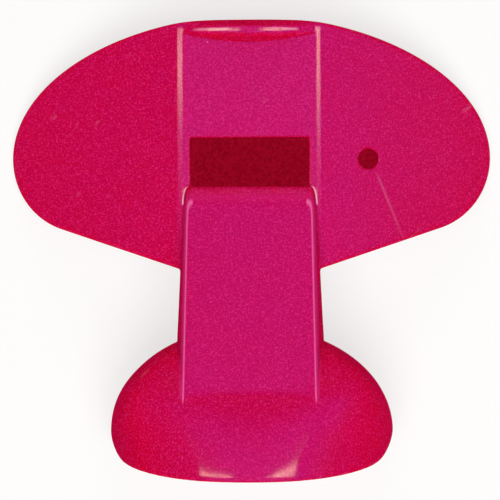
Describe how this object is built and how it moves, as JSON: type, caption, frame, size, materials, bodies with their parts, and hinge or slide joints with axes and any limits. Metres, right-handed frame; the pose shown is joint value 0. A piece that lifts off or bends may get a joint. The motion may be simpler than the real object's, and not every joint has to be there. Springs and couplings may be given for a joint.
{
  "type": "nose flute",
  "caption": "Moulded plastic nose flute: winged mouth shield with a windowed strip, a sloping air duct and an arched nose hood, closed behind by a windway plate.",
  "frame": {"origin": "centre of the plan box, on the plane that the flute lies on when it rests on its back", "axes": "+X towards the wing with the cord hole, +Y towards the chin edge, +Z towards the front, away from the player"},
  "size_m": [0.0762, 0.0704, 0.0269],
  "materials": {
    "magenta_plastic": "glossy moulded polystyrene, magenta-red, slightly translucent, with fine handling scuffs"
  },
  "bodies": {
    "root": {"front_shell": "magenta_plastic", "windway_plate": "magenta_plastic"}
  },
  "joints": []
}
